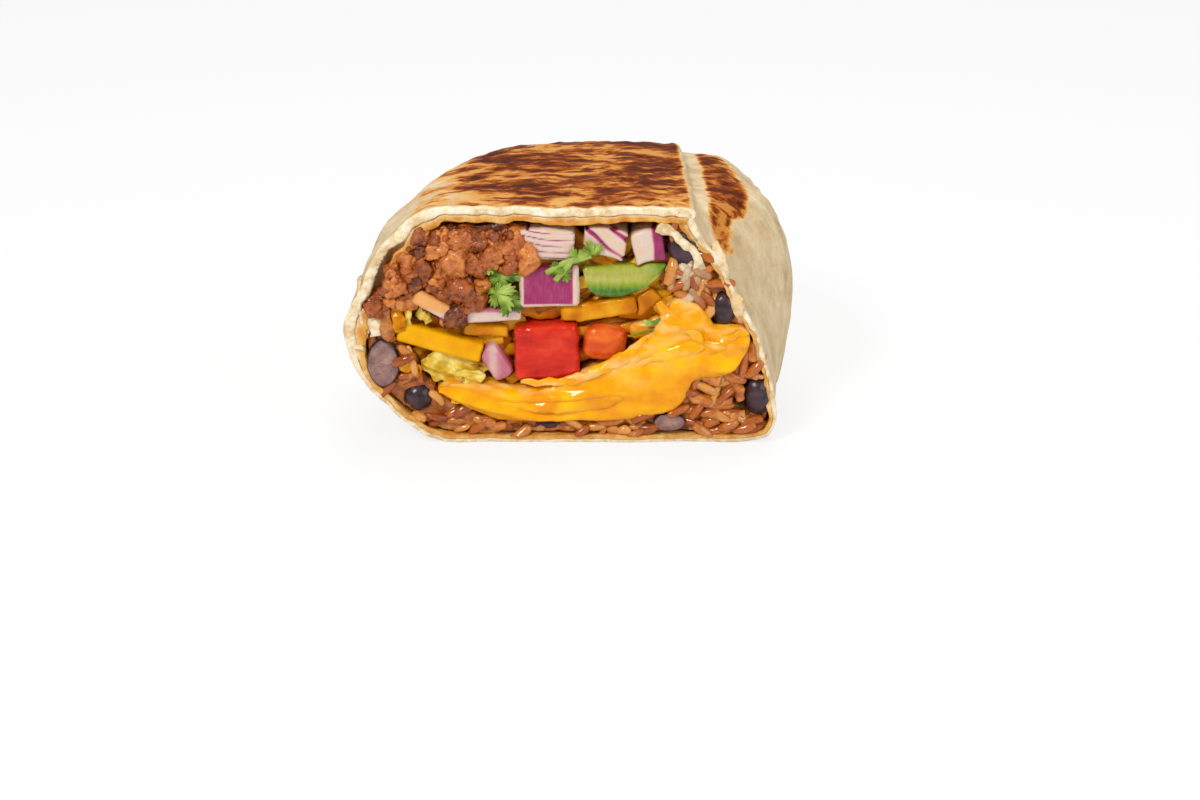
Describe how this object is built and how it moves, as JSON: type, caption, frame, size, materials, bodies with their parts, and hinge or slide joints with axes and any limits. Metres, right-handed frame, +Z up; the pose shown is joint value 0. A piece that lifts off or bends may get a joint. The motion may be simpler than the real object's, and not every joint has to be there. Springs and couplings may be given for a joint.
{
  "type": "cut half of a grilled burrito",
  "caption": "Half of a grilled flour-tortilla burrito, cut end showing layers of rice, beans, melted cheese, meat and chopped vegetables, folded shut behind.",
  "frame": {"origin": "middle of the underside on the surface it lies on", "axes": "+Z up; the cut end faces -Y and the folded, closed end +Y; +X is to the right as seen from the cut"},
  "size_m": [0.0958, 0.0804, 0.0527],
  "materials": {
    "tortilla": "dry, floury flatbread, matt, with brown toasted patches where it met the griddle",
    "rice": "cooked rice grains in brown sauce, moist, semi-gloss",
    "bean": "cooked black bean, dark purple-brown skin, softly shiny, paler mealy inside where sliced",
    "melted_cheese": "melted orange-yellow cheese, glossy and uneven",
    "cheddar": "orange-yellow cheese strip, soft satin",
    "meat": "crumbled cooked meat, brown, rough and oily in spots",
    "filling": "chopped mixed filling, moist, brown-yellow",
    "onion": "fresh red onion, white to pink with purple edges, wet satin",
    "purple_onion": "fresh red onion skin side, magenta-purple, wet satin",
    "tomato": "fresh red tomato flesh, wet gloss",
    "pepper": "fresh green pepper, wet gloss",
    "lettuce": "pale yellow-green lettuce, soft satin"
  },
  "bodies": {
    "root": {"tomato_dice_left": "tomato", "tomato_dice_right": "tomato", "cheese_strip_left": "cheddar", "cheese_strip_middle": "cheddar", "cheese_strip_right": "cheddar", "cheese_strip_inner": "cheddar", "cheese_melted_pale": "melted_cheese", "onion_stack": "onion", "onion_middle": "onion", "onion_right": "onion", "onion_slice": "onion", "onion_wedge": "onion", "onion_in_meat": "onion", "onion_square": "purple_onion", "pepper_slice": "pepper", "lettuce_piece": "lettuce", "bean_left": "bean", "bean_low_left": "bean", "bean_top_right": "bean", "bean_mid_right": "bean", "bean_low_right": "bean", "bean_base_right": "bean", "bean_base_left": "bean", "melted_cheese": "melted_cheese", "crumbled_meat": "meat", "rice_bed": "rice", "filling_core": "filling", "tortilla_wrap": "tortilla"}
  },
  "joints": []
}
